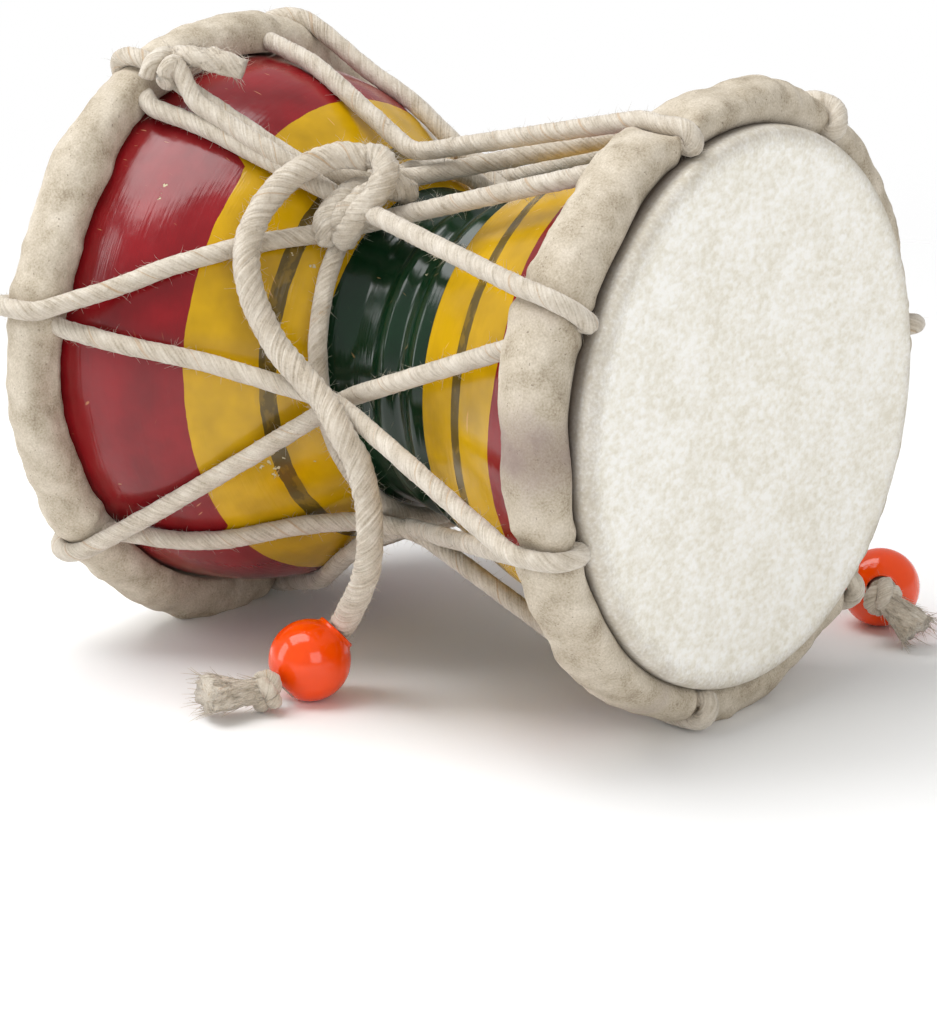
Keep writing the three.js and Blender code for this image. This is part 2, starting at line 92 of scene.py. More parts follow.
Rim = namedtuple("Rim", "side x radius half_width half_height waves loops pinch slant drift tunnel")
RIGHT_RIM = Rim(
    1, 46.9, 43.5, 5.2, 4.0,
    np.array([
        (-95, 0, 0.4, 1.3), (-82, 0, 0.4, 1.6), (-66, -0.4, 0.8, -0.9),
        (-52, -0.6, 0.8, -0.4), (-35, -1.9, 1.2, -0.5),
        (-15, -1.6, 0.5, 0), (-2, -0.8, 1.0, 0), (10, 0.6, -0.4, 0), (22, 1.8, -0.6, 0.1),
        (45, -0.3, 0.3, 0), (58, 0.8, -0.8, -0.3), (88, -0.4, 0, -1.3), (104, 0, 0, 0.1),
        (128, 0, 0, 0.5), (174, 0.3, -0.3, 0.9), (222, -0.5, 0.4, 0.3),
    ]),
    (119, 71, 27, -17, -77, -131, -186),
    (1.2, 3.0, 0.6, 1.6, 2.1, 1.2, 1.2),
    (3, 2, 3, 0.5, -3, 3, 3),
    (8, 12, 6.5, 4, -6.5, 7, 7),
    (43.3, 42.8),
)
LEFT_RIM = Rim(
    -1, -46.9, 43.6, 4.6, 4.2,
    np.array([
        (-95, 0, 0.2, 1.3), (-82, 0, 0.2, 1.4), (-62, 0.4, 0, 0),
        (-34, 0.4, 0.3, -0.4), (-15, -1.0, 0.4, -0.2),
        (-5, -2.0, 0.6, 0.2), (12, 0, 0.2, 0.2), (28, 0.2, 0, -0.6), (40, -0.3, 0, 0.1),
        (55, -1.2, 0, -0.3), (85, 0, 0, -0.2), (140, 0.3, 0.2, 0.3), (200, -0.5, 0, 0),
    ]),
    (109, 67, 11, -43.5, -104, -154, -204),
    (0.8, 1.0, 0.3, 0.6, 2.3, 1.0, 1.0),
    (3, -2, 0, 4.5, 4, 3, 3),
    (12.5, 9, 3, -5, 8, 8, 8),
    (44.2, 43.5),
)
LOOPS = 7
SNUG = 0.7
OVER_LIFT = LACING_RADIUS + GAP + 0.25
# the upper and lower strand of each crossing at the waist, as places (x, r, angle)
CROSSINGS = (
    (((-5, 31, 130),), ((-5, 28, 130),)),
    (((-6.5, 31.2, 84),), ((-33, 43.2, 62.5), (-16.5, 34.9, 60), (-9, 31, 65), (-5, 28.2, 80))),
    (((-6, 31.2, 55),), ((-9.5, 28.8, 47.5), (-1.5, 28.2, 57))),
    (((-20, 36.7, 5), (0.6, 30.2, -2)), ((0.6, 27.4, -2),)),
    (((-6, 28.4, -55), (4.5, 28.2, -57)), ((-9, 30.6, -67), (0.5, 27.4, -60))),
    (((-3, 31, -118),), ((-3, 28, -118),)),
    (((-3, 31, -168),), ((-3, 28, -168),)),
)
LOWER_GOES_OVER = 4
# the strands that face the viewer have more lint
FRONT_STRANDS = (2, 3, 4, 5, 6, 7, 8, 9, 14, 15)
TUFT = ((-39, 48.4, 66), (-35, 49.2, 66), (-31, 48.6, 66.5), (-27.5, 46.8, 68))

FRONT_ROUTE = (
    (-4.8, -15.9, 79.9), (-8, -17.6, 80.2), (-11.4, -21, 79), (-14, -25.1, 76.1),
    (-15.3, -28.8, 72), (-14.8, -32, 67.6), (-13.2, -33.5, 63), (-11, -33.6, 58.4),
    (-7.4, -34, 54.2), (-2.6, -34.4, 50.8), (2, -34.6, 47.4), (5.8, -35.6, 43.9),
    (8.6, -35.1, 39.4), (10.2, -35, 34.6), (10.9, -35.2, 30), (10, -34.4, 25), (7.2, -32.6, 20),
    (3.6, -30.4, 15.8), (0.6, -28.2, 12.8),
)
BACK_ROUTE = (
    (-0.6, 38.6, 41), (1.4, 39.8, 37.6), (2.6, 40.4, 33), (3.6, 40.8, 27.5), (4.8, 41, 21),
    (6.4, 41.4, 14.6), (8.8, 42.6, 8.4), (12.4, 45.2, 4), (17.4, 49.2, 2.3), (22.8, 53.6, 2.15),
    (27.8, 58.2, 2.15), (32.2, 62.2, 2.3), (36.6, 62.6, 3.4),
)
Bead = namedtuple("Bead", "middle hole")
FRONT_BEAD = Bead((-3.9, -31.5, 6.2), (0.38, 0.62, 0.68))
BACK_BEAD = Bead((42, 53.7, 6.2), (-0.56, 0.81, -0.15))
EndKnot = namedtuple("EndKnot", "middle tail spread")
FRONT_KNOT = EndKnot((-4.9, -40.4, 3.3), (-9.3, -48.8, 4.1), 4.3)
BACK_KNOT = EndKnot((47.3, 46.1, 7.4), (53.4, 46.6, 2.9), 3.6)
FRONT_TURNS = (
    ((-8.6, 28.9, 44.5), (-8.3, 31.6, 47), (-7.4, 32.4, 53.5), (-6.2, 31.6, 60.5), (-5.6, 28.8, 64.5)),
    ((-7.2, 29, 46.5), (-5, 32.4, 50), (-2.6, 33.4, 55), (-0.8, 32.8, 61), (0, 29.6, 66)),
    ((-5.2, 36.2, 64.2), (-3.0, 36.3, 64.5), (-1.0, 36, 62.8), (0.1, 35.2, 59), (-0.2, 34.4, 55),
     (-1.8, 33.2, 51), (-4, 31.2, 47.5), (-6, 29, 45.5)),
)
BACK_TURNS = (
    ((-5.5, 27.4, -181), (-5.4, 31, -180.5), (-5, 34, -174), (-4.6, 34.2, -166), (-4.2, 31, -158),
     (-4, 27.5, -157)),
    ((-0.5, 27, -179), (-0.4, 31, -179), (-1, 34, -172), (-1.6, 34, -164), (-2, 31, -157),
     (-2, 27.5, -157)),
)

# the lacquer's bands: where each starts along the drum, and its colour
BANDS = (
    (-54, "#8a0f18"), (-24, "#cfa200"), (-14.4, "#64521f"), (-12.6, "#cfa200"), (-6.8, "#0a2e18"),
    (14.6, "#cfa200"), (23.2, "#64521f"), (25.0, "#cfa200"), (32.6, "#8a0f18"),
)
RUBBED_LINES = (-13.2, 24.4)
# how far the paint strays along the drum at the two edges cut in by hand: (angle, shift)
LEFT_EDGE = np.array([
    (-90, 0.3), (-50, 0.1), (-47.5, 2.2), (-45, 2.4), (-43, 0.1),
    (-20, 0), (10, 0.1), (50, -0.1), (54, 0.4), (56.5, 3.2),
    (59, 2.6), (61, 0.1), (120, -0.3), (200, 0.2)])
RIGHT_EDGE = np.array([
    (-80, 0.6), (-40, -0.5), (-10, 0.6), (20, -0.6), (45, 0.5),
    (75, -0.4), (150, 0.3), (220, -0.3)])
# places where the lacquer is worn: along, angle, width and strength
WORN = ((-15, -28, 6, 0.8), (-12, 40, 4, 0.7), (-33, 41, 2, 1.1), (-9, 20, 4, 0.5), (22, 40, 5, 0.5),
        (6, 50, 5, 0.6), (30, -20, 5, 0.5), (-44, 15, 5, 0.3), (-20, 150, 8, 0.5), (20, -130, 8, 0.5))

# where the camera stands and looks, and each light: place, aim, width, height, share of the power
EYE = (414.93, -527.37, 207.97)
LOOK_AT = (1.568, 0, 22.687)
LENS = 158.617
LIGHTS = (
    ((-250, -150, 700), (0, 0, 40), 620, 620, 1.0),
    ((650, -420, 330), (20, 0, 40), 420, 420, 0.28),
    ((-600, -520, 260), (0, 0, 40), 300, 520, 0.32),
)

# ---- arithmetic on whole arrays ---------------------------------------------------------------

LATTICE = np.random.default_rng(11).uniform(-1, 1, (32, 32, 32))


def unit(vectors):
    """Vectors scaled to length one."""
    return vectors / np.maximum(np.linalg.norm(vectors, axis=-1, keepdims=True), 1e-12)


def mottle(points, size):
    """Smooth random values from -1 to 1: a repeating lattice of random numbers whose cells are
    `size` wide, blended between its corners with eased shares."""
    place = np.asarray(points, float) / size
    cell = np.floor(place).astype(int)
    share = place - cell
    share = share * share * (3 - 2 * share)
    total = 0
    for corner in np.ndindex(2, 2, 2):
        weight = np.prod(np.where(corner, share, 1 - share), axis=-1)
        i, j, k = np.moveaxis((cell + corner) % 32, -1, 0)
        total = total + weight * LATTICE[i, j, k]
    return total


def around(x, r, degrees):
    """Points at x along the drum's axis, r out from it and an angle up from the -Y side."""
    angle = np.radians(degrees)
    parts = np.broadcast_arrays(x, -r * np.cos(angle), AXIS_HEIGHT + r * np.sin(angle))
    return np.stack(parts, -1).astype(float)


def shell_radius(x):
    """The shell's outside radius at x."""
    return np.interp(x, SHELL_OUTSIDE[:, 0], SHELL_OUTSIDE[:, 1])


def wave_at(waves, degrees, column):
    """A listed column's value at an angle: eased blends between its listed waves, round the full turn."""
    full_turn = 360 * np.eye(1, waves.shape[1])
    rows = np.vstack([waves, waves[0] + full_turn])
    angle = rows[0, 0] + np.mod(degrees - rows[0, 0], 360)
    after = np.clip(np.searchsorted(rows[:, 0], angle), 1, len(rows) - 1)
    low, high = rows[after - 1], rows[after]
    share = (angle - low[..., 0]) / (high[..., 0] - low[..., 0])
    share = share * share * (3 - 2 * share)
    return low[..., column] * (1 - share) + high[..., column] * share


def resample(points, step):
    """A polyline's points spread evenly, about `step` apart."""
    points = np.asarray(points, float)
    run = np.concatenate([[0], np.cumsum(np.linalg.norm(np.diff(points, axis=0), axis=1))])
    at = np.linspace(0, run[-1], max(2, int(round(run[-1] / step)) + 1))
    return np.stack([np.interp(at, run, points[:, k]) for k in range(3)], -1)


def eased(points, spread):
    """A polyline with its corners rounded: each point becomes the bell-weighted mean of its
    neighbours, `spread` stations wide, with the ends held by mirrored copies."""
    reach = int(3 * spread) + 1
    weights = np.exp(-0.5 * (np.arange(-reach, reach + 1) / spread) ** 2)
    weights /= weights.sum()
    before = 2 * points[0] - points[reach:0:-1]
    after = 2 * points[-1] - points[-2:-reach - 2:-1]
    padded = np.vstack([before, points, after])
    return np.stack([np.convolve(padded[:, k], weights, "valid") for k in range(3)], -1)


def spline(points, step):
    """A centripetal Catmull-Rom curve through points: cubic spans whose knots are spaced by the
    square root of the chords, sampled and then spread evenly."""
    p = np.asarray(points, float)
    p = np.vstack([2 * p[0] - p[1], p, 2 * p[-1] - p[-2]])
    knot = np.maximum(np.linalg.norm(np.diff(p, axis=0), axis=1) ** 0.5, 1e-4)[:, None]
    x0, x1, x2, x3 = p[:-3], p[1:-2], p[2:-1], p[3:]
    d0, d1, d2 = knot[:-2], knot[1:-1], knot[2:]
    t1 = ((x1 - x0) / d0 - (x2 - x0) / (d0 + d1) + (x2 - x1) / d1) * d1
    t2 = ((x2 - x1) / d1 - (x3 - x1) / (d1 + d2) + (x3 - x2) / d2) * d1
    t = np.linspace(0, 1, 25)[:-1, None, None]
    curve = x1 + t1 * t + (-3 * x1 + 3 * x2 - 2 * t1 - t2) * t**2 + (2 * x1 - 2 * x2 + t1 + t2) * t**3
    dense = np.vstack([curve.transpose(1, 0, 2).reshape(-1, 3), p[-2]])
    return resample(dense, step)


# ---- surfaces ---------------------------------------------------------------------------------

Surface = namedtuple("Surface", "points quads tris grain")
NO_TRIS = np.empty((0, 3), int)


def grid(points, grain, wrap_rows=False, wrap_columns=True, cap=False):
    """A surface on a grid of rows and columns of points: a quad between every four neighbours,
    round again where it wraps, and a fan to each end row's middle where it is capped."""
    rows, columns = points.shape[:2]
    i = np.arange(rows if wrap_rows else rows - 1)[:, None]
    j = np.arange(columns if wrap_columns else columns - 1)[None]
    i2, j2 = (i + 1) % rows, (j + 1) % columns
    corners = np.stack(np.broadcast_arrays(
        i * columns + j, i * columns + j2, i2 * columns + j2, i2 * columns + j), -1)
    flat, flat_grain = points.reshape(-1, 3), grain.reshape(-1, 3)
    tris = NO_TRIS
    if cap:
        first, last = len(flat), len(flat) + 1
        flat = np.vstack([flat, points[0].mean(0), points[-1].mean(0)])
        flat_grain = np.vstack([flat_grain, grain[0].mean(0), grain[-1].mean(0)])
        ring = np.arange(columns)
        after = (ring + 1) % columns
        base = (rows - 1) * columns
        tris = np.vstack([
            np.stack([np.full(columns, first), after, ring], -1),
            np.stack([np.full(columns, last), base + ring, base + after], -1),
        ])
    return Surface(flat, corners.reshape(-1, 4), tris, flat_grain)


def joined(surfaces):
    """Several surfaces as one."""
    sizes = np.cumsum([0] + [len(s.points) for s in surfaces])
    return Surface(
        np.vstack([s.points for s in surfaces]),
        np.vstack([s.quads + n for s, n in zip(surfaces, sizes)]),
        np.vstack([s.tris + n for s, n in zip(surfaces, sizes)]),
        np.vstack([s.grain for s in surfaces]),
    )


def faces_outward(surface):
    """The surface with its faces turned over if its signed volume is negative."""
    p, q, t = surface.points, surface.quads, surface.tris
    corners = np.vstack([q[:, (0, 1, 2)], q[:, (0, 2, 3)], t])
    a, b, c = p[corners].transpose(1, 0, 2)
    if np.einsum("ij,ij->", a, np.cross(b, c)) < 0:
        return surface._replace(quads=q[:, ::-1], tris=t[:, ::-1])
    return surface


def mesh_piece(name, surface, material):
    """A mesh object at the origin with the surface in metres, that rides on the drum."""
    points, quads, tris, grain = surface
    mesh = bpy.data.meshes.new(name)
    mesh.vertices.add(len(points))
    mesh.vertices.foreach_set("co", (points * MM).astype(np.float32).ravel())
    mesh.loops.add(quads.size + tris.size)
    mesh.loops.foreach_set("vertex_index", np.concatenate([quads.ravel(), tris.ravel()]))
    mesh.polygons.add(len(quads) + len(tris))
    starts = [np.arange(len(quads)) * 4, quads.size + np.arange(len(tris)) * 3]
    mesh.polygons.foreach_set("loop_start", np.concatenate(starts))
    mesh.polygons.foreach_set("use_smooth", np.ones(len(quads) + len(tris), bool))
    mesh.update(calc_edges=True)
    attribute = mesh.attributes.new("grain", "FLOAT_VECTOR", "POINT")
    attribute.data.foreach_set("vector", grain.astype(np.float32).ravel())
    mesh.validate()
    mesh.materials.append(material)
    piece = bpy.data.objects.new(name, mesh)
    bpy.context.scene.collection.objects.link(piece)
    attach(piece, "root")
    return piece


def stations(path):
    """For each point of a path its run in millimetres, its direction and two directions across:
    both square to the direction, the first as near as can be to the path's flattest way."""
    run = np.concatenate([[0], np.cumsum(np.linalg.norm(np.diff(path, axis=0), axis=1))])
    ahead = unit(np.gradient(path, axis=0))
    flattest = np.linalg.svd(path - path.mean(0))[2][2]
    side = unit(flattest - (ahead @ flattest)[:, None] * ahead)
    return run, ahead, side, np.cross(ahead, side)


def twisted_cord(path, radius, plies, pitch, sides=20, depth=0.13, rough=0.05, seed=0.0):
    """A twisted cord: round each station a ring whose radius swells over every ply and dips
    between them, turned with the run so that the plies wind along the cord, and a little uneven.
    The grain runs with the plies: its first two numbers are the place round the twisted cord."""
    run, _, side, up = stations(path)
    angle = np.linspace(0, 2 * np.pi, sides, endpoint=False)[None]
    turned = angle - (2 * np.pi * run / pitch)[:, None] + seed
    ply = np.abs(np.cos(plies * turned / 2)) ** 0.7
    ring = side[:, None] * np.cos(angle)[..., None] + up[:, None] * np.sin(angle)[..., None]
    swell = radius * (1 - depth * (1 - ply))
    points = path[:, None] + ring * swell[..., None]
    loose = mottle(points + 50 * seed, 0.9) + 0.7 * mottle(points + 50 * seed, 3.1)
    points = path[:, None] + ring * (swell * (1 + rough * loose))[..., None]
    grain = np.stack(np.broadcast_arrays(
        radius * np.cos(turned), radius * np.sin(turned), run[:, None] * 0.12 + 7 * seed), -1)
    return grid(points, grain, cap=True)


def stray_fibres(path, radius, per_mm, length, seed, thickness=0.03):
    """Stray cotton fibres: each starts on the cord's surface, leaves it slanting along the run and
    bends sideways as the square of its length; a three-sided tube that thins to its tip."""
    rng = np.random.default_rng(seed)
    run, ahead, side, up = stations(path)
    count = max(4, int(run[-1] * per_mm))
    at = rng.integers(0, len(path), count)
    angle = rng.uniform(0, 2 * np.pi, (count, 1))
    outward = side[at] * np.cos(angle) + up[at] * np.sin(angle)
    start = path[at] + outward * radius * 0.9
    heading = unit(outward * rng.uniform(0.15, 0.9, (count, 1)) + ahead[at] * rng.normal(0, 0.9, (count, 1)))
    return fibres(start, heading, length * rng.uniform(0.35, 1, count) ** 2, thickness, rng)


def fibres(start, heading, length, thickness, rng, bend=1.3):
    """Thin three-sided tubes from their starts along their headings, bending sideways as the square
    of the share of their length, and thinning to a quarter at the tip."""
    count, steps, sides = len(start), 4, 3
    across = unit(np.cross(heading, rng.normal(size=(count, 3))))
    third = np.cross(heading, across)
    share = np.linspace(0, 1, steps)
    curl = rng.uniform(-bend, bend, (count, 1, 1)) * share[None, :, None] ** 2 / 2
    line = start[:, None] + length[:, None, None] * (
        heading[:, None] * share[None, :, None] + across[:, None] * curl)
    angle = np.arange(sides) * 2 * np.pi / sides
    ring = across[:, None] * np.cos(angle)[None, :, None] + third[:, None] * np.sin(angle)[None, :, None]
    width = thickness * (1 - 0.75 * share)
    points = line[:, :, None] + ring[:, None] * width[None, :, None, None]
    points[..., 2] = np.maximum(points[..., 2], 0.05)
    first = (np.arange(count) * steps * sides)[:, None, None]
    i, j = np.arange(steps - 1)[None, :, None] * sides, np.arange(sides)[None, None]
    j2 = (j + 1) % sides
    quads = np.stack(np.broadcast_arrays(
        first + i + j, first + i + j2, first + i + sides + j2, first + i + sides + j), -1)
    root = first[:, 0] + (0, 2, 1)
    tip = first[:, 0] + (steps - 1) * sides + (0, 1, 2)
    flat = points.reshape(-1, 3)
    return Surface(flat, quads.reshape(-1, 4), np.vstack([root, tip]), flat)


# ---- materials --------------------------------------------------------------------------------


def srgb(colour):
    """An sRGB hex colour as linear red, green, blue and alpha."""
    raw = np.array([int(colour[k:k + 2], 16) / 255 for k in (1, 3, 5)])
    linear = np.where(raw <= 0.04045, raw / 12.92, ((raw + 0.055) / 1.055) ** 2.4)
    return (*linear.tolist(), 1.0)


def add(tree, kind, inputs=None, stops=None, **settings):
    """Adds a shader node, sets its settings and colour stops, and fills its inputs with values or
    links. Returns the node."""
    made = tree.nodes.new("ShaderNode" + kind)
    ramp = getattr(made, "color_ramp", None)
    for name, value in settings.items():
        setattr(ramp or made, name, value)
    if stops:
        ramp.elements.remove(ramp.elements[1])
        ramp.elements[0].position = stops[0][0]
        ramp.elements[0].color = stops[0][1]
        for position, colour in stops[1:]:
            ramp.elements.new(position).color = colour
    for key, value in (inputs or {}).items():
        if isinstance(value, bpy.types.NodeSocket):
            tree.links.new(value, made.inputs[key])
        else:
            made.inputs[key].default_value = value
    return made


def new_material(name, **shader):
    """A node material whose Principled shader has these sockets set; returns it, its node tree, its
    shader and the place on the piece in millimetres."""
    material = bpy.data.materials.new(name)
    material.use_nodes = True
    tree = material.node_tree
    principled = tree.nodes["Principled BSDF"]
    for key, value in shader.items():
        principled.inputs[key.replace("_", " ")].default_value = value
    place = add(tree, "TexCoord").outputs["Object"]
    in_mm = add(tree, "VectorMath", {0: place, "Scale": 1 / MM}, operation="SCALE")
    return material, tree, principled, in_mm.outputs[0]


def speckle(tree, place, size, detail=2.0, stretch=(1, 1, 1), sharp=None):
    """Noise with features about `size` millimetres wide, drawn out by `stretch`; sharpened between
    two levels of itself where `sharp` gives them. Returns its socket."""
    turned = add(tree, "Mapping", {"Vector": place, "Scale": tuple(1 / s for s in stretch)})
    noise = add(tree, "TexNoise", {"Vector": turned.outputs[0], "Scale": 1 / size, "Detail": detail})
    if sharp is None:
        return noise.outputs["Fac"]
    limits = {"Value": noise.outputs["Fac"], "From Min": sharp[0], "From Max": sharp[1]}
    return add(tree, "MapRange", limits, interpolation_type="SMOOTHSTEP").outputs["Result"]


def blend(tree, share, low, high, mode="MIX"):
    """One colour where the share is 0 and the other where it is 1. Returns its socket."""
    mixed = add(tree, "Mix", {0: share, 6: low, 7: high}, data_type="RGBA", blend_type=mode)
    return mixed.outputs[2]


def sums(tree, *terms):
    """A weighted sum of sockets, given as (socket, weight). Returns its socket."""
    total = 0.0
    for socket, weight in terms:
        made = add(tree, "Math", {0: socket, 1: weight, 2: total}, operation="MULTIPLY_ADD")
        total = made.outputs[0]
    return total


def bump(tree, principled, height, depth):
    """Raises the surface by a height of 0 to 1, times `depth` in millimetres."""
    raised = add(tree, "Bump", {"Height": height, "Distance": depth * MM, "Strength": 1.0})
    tree.links.new(raised.outputs[0], principled.inputs["Normal"])


def lacquered_wood():
    """Turned wood under hand-painted, sprayed-over lacquer: glossy bands whose edges wander a
    little, fine turning lines round the drum, hairline scratches, rubbed dark lines and small
    chips down to the cream ground."""
    material, tree, principled, place = new_material("lacquered_wood", IOR=1.5, Roughness=0.2)
    band = add(tree, "SeparateXYZ", {
        0: add(tree, "Attribute", attribute_name="grain").outputs["Vector"]})
    along = band.outputs["X"]
    along = sums(tree, (speckle(tree, place, 4.0, 4.0), 0.5), (along, 1.0))
    share = add(tree, "MapRange", {
        "Value": along, "From Min": -MOUTH_X + 0.25, "From Max": MOUTH_X + 0.25}).outputs["Result"]
    stops = [((x + MOUTH_X) / (2 * MOUTH_X), srgb(colour)) for x, colour in BANDS]
    paint = add(tree, "ValToRGB", {0: share}, stops, interpolation="CONSTANT").outputs[0]
    lines = [add(tree, "Math", {0: along, 1: x, 2: 1.5}, operation="COMPARE").outputs[0]
             for x in RUBBED_LINES]
    rubbed = add(tree, "Math", {
        0: sums(tree, (lines[0], 1.0), (lines[1], 1.0)),
        1: speckle(tree, place, 1.7, 5.0, (1, 2, 2), (0.52, 0.60))}, operation="MULTIPLY")
    paint = blend(tree, sums(tree, (rubbed.outputs[0], 0.28)), paint, srgb("#b9922a"))
    round_lines = speckle(tree, place, 0.5, 2.0, (1, 24, 24))
    broad = speckle(tree, place, 9.0, 3.0)
    paint = blend(tree, 0.35, paint, add(tree, "ValToRGB", {0: broad}, [
        (0.3, srgb("#3c3028")), (0.62, srgb("#ffffff"))]).outputs[0], "MULTIPLY")
    hair = speckle(tree, place, 0.35, 1.0, (9, 1, 30), (0.74, 0.8))
    paint = blend(tree, sums(tree, (hair, 0.45)), paint, srgb("#e8b27a"))
    chips = sums(tree, (speckle(tree, place, 1.5, 4.0), 1.0), (band.outputs["Y"], 0.16))
    chips = add(tree, "MapRange", {"Value": chips, "From Min": 0.765, "From Max": 0.78}).outputs[0]
    paint = blend(tree, chips, paint, srgb("#cbbf9c"))
    tree.links.new(paint, principled.inputs["Base Color"])
    rough = sums(tree, (speckle(tree, place, 1.4, 4.0), 0.22), (chips, 0.4), (hair, 0.2))
    rough = add(tree, "Math", {0: rough, 1: 0.06}, operation="ADD").outputs[0]
    tree.links.new(rough, principled.inputs["Roughness"])
    height = sums(tree, (round_lines, 0.4), (speckle(tree, place, 5.0, 2.0), 1.0), (chips, -0.9))
    bump(tree, principled, height, 0.10)
    return material


def drum_hide():
    """Goat rawhide: on the face a white, tightly drawn skin with fine pebbled grain and faint yellow
    patches; on the rolled rim a dried, suede-like cream with brown stains, fine nap and specks; on the
    collar a cream-to-brown nap with painted shade that deepens towards the groove. The grain attribute says
    where each look is: 0 on the face, 1 on the collar, 2 on the roll, with the second number for stains and
    the third for painted shade in the groove."""
    material, tree, principled, place = new_material("drum_hide", IOR=1.45, Roughness=0.8)
    zone = add(tree, "SeparateXYZ", {
        0: add(tree, "Attribute", attribute_name="grain").outputs["Vector"]})
    pebbles = speckle(tree, place, 0.75, 1.0, (1, 1.5, 1))
    cloudy = speckle(tree, place, 9.0, 4.0)
    face = add(tree, "ValToRGB", {0: sums(tree, (pebbles, 0.55), (cloudy, 0.45))}, [
        (0.34, srgb("#e5dfcf")), (0.48, srgb("#f1ede2")), (0.62, srgb("#faf8f2"))]).outputs[0]
    nap = speckle(tree, place, 0.3, 3.0)
    smudge = speckle(tree, place, 4.2, 5.0)
    stubble = speckle(tree, place, 0.45, 3.0)
    # the collar's colour: partly the hide's own nap, partly painted shade that deepens towards the groove
    collar_nap_and_shade_share = sums(tree, (zone.outputs["X"], 1.0), (stubble, 0.55), (smudge, 0.35))
    collar_nap_and_shade_share = add(tree, "MapRange", {"Value": collar_nap_and_shade_share, "From Min": 1.0, "From Max": 1.85},
               interpolation_type="SMOOTHSTEP").outputs["Result"]
    collar_nap_and_shade_colour = blend(tree, stubble, srgb("#8d806d"), srgb("#c3b8a6"))
    face = blend(tree, collar_nap_and_shade_share, face, collar_nap_and_shade_colour)
    roll = add(tree, "ValToRGB", {0: sums(tree, (nap, 0.4), (smudge, 0.6))}, [
        (0.30, srgb("#8f806c")), (0.44, srgb("#b5a995")), (0.56, srgb("#c8bdab")),
        (0.7, srgb("#dbd1c1"))]).outputs[0]
    specks = speckle(tree, place, 0.5, 1.0, (1, 1, 1), (0.72, 0.76))
    roll = blend(tree, sums(tree, (specks, 0.6)), roll, srgb("#6f5f50"))
    stain = sums(tree, (zone.outputs["Y"], 1.0), (smudge, 0.9))
    stain = add(tree, "MapRange", {"Value": stain, "From Min": 0.62, "From Max": 1.6},
                interpolation_type="SMOOTHSTEP").outputs["Result"]
    roll = blend(tree, stain, roll, srgb("#84706a"))
    on_roll = add(tree, "Math", {0: zone.outputs["X"], 1: 1.5}, operation="GREATER_THAN").outputs[0]
    colour = blend(tree, on_roll, face, roll)
    # painted shade: the hide darkens towards #41342a in the groove between the collar and the roll
    colour = blend(tree, zone.outputs["Z"], colour, srgb("#41342a"))
    tree.links.new(colour, principled.inputs["Base Color"])
    height = sums(tree, (pebbles, 0.5), (nap, 0.3), (smudge, 0.6))
    bump(tree, principled, height, 0.2)
    return material


def cotton(name, light, shade, fleck="#b08a5c"):
    """Soft twisted cotton: a random tone in streaks that run with the plies, with painted shade between
    the fine yarn lines and a painted highlight on the palest streaks, with a few tan threads and seed flecks,
    and it has the sheen of loose fibre."""
    material, tree, principled, place = new_material(
        name, IOR=1.45, Roughness=0.95, Sheen_Weight=0.35, Sheen_Roughness=0.5)
    run = add(tree, "Attribute", attribute_name="grain").outputs["Vector"]
    yarn = speckle(tree, run, 0.42, 3.0)
    cloudy = speckle(tree, place, 2.6, 3.0)
    tone = sums(tree, (yarn, 0.5), (cloudy, 0.3), (speckle(tree, place, 0.3, 2.0), 0.2))
    # painted shade and painted highlight: the tone runs from the shaded cotton colour through the lit one to
    # a highlight colour
    colour = add(tree, "ValToRGB", {0: tone}, [
        (0.30, srgb(shade)), (0.47, srgb(light)), (0.70, srgb("#e4dccf"))]).outputs[0]
    tan = speckle(tree, run, 0.7, 1.0, (1, 1, 6), (0.67, 0.72))
    colour = blend(tree, sums(tree, (tan, 0.5)), colour, srgb(fleck))
    tree.links.new(colour, principled.inputs["Base Color"])
    bump(tree, principled, sums(tree, (yarn, 1.0), (speckle(tree, place, 0.25, 2.0), 0.5)), 0.22)
    return material


def moulded_plastic(colour):
    """Injection-moulded orange polystyrene: smooth, glossy and slightly translucent."""
    material, tree, principled, place = new_material(
        "moulded_plastic", IOR=1.5, Roughness=0.12, Subsurface_Weight=0.12,
        Subsurface_Scale=1.5 * MM)
    principled.inputs["Subsurface Radius"].default_value = (1.0, 0.3, 0.05)
    swirl = speckle(tree, place, 5.0, 2.0)
    deep = tuple(c * 0.8 for c in colour[:3]) + (1.0,)
    tree.links.new(blend(tree, swirl, deep, colour), principled.inputs["Base Color"])
    rough = sums(tree, (speckle(tree, place, 1.2, 3.0), 0.12))
    rough = add(tree, "Math", {0: rough, 1: 0.05}, operation="ADD").outputs[0]
    tree.links.new(rough, principled.inputs["Roughness"])
    bump(tree, principled, swirl, 0.05)
    return material


def studio_paper():
    """Matt white background paper that fades into the white surround away from the drum."""
    material, tree, principled, place = new_material("studio_paper", Roughness=0.9)
    tone = blend(tree, speckle(tree, place, 180.0, 2.0), srgb("#f4f4f4"), srgb("#fafafa"))
    tree.links.new(tone, principled.inputs["Base Color"])
    away = add(tree, "VectorMath", {0: place}, operation="LENGTH").outputs["Value"]
    cover = add(tree, "MapRange", {
        "Value": away, "From Min": 130.0, "From Max": 420.0, "To Min": 1.0, "To Max": 0.0},
        interpolation_type="SMOOTHSTEP").outputs["Result"]
    tree.links.new(cover, principled.inputs["Alpha"])
    return material


# ---- shell ------------------------------------------------------------------------------------


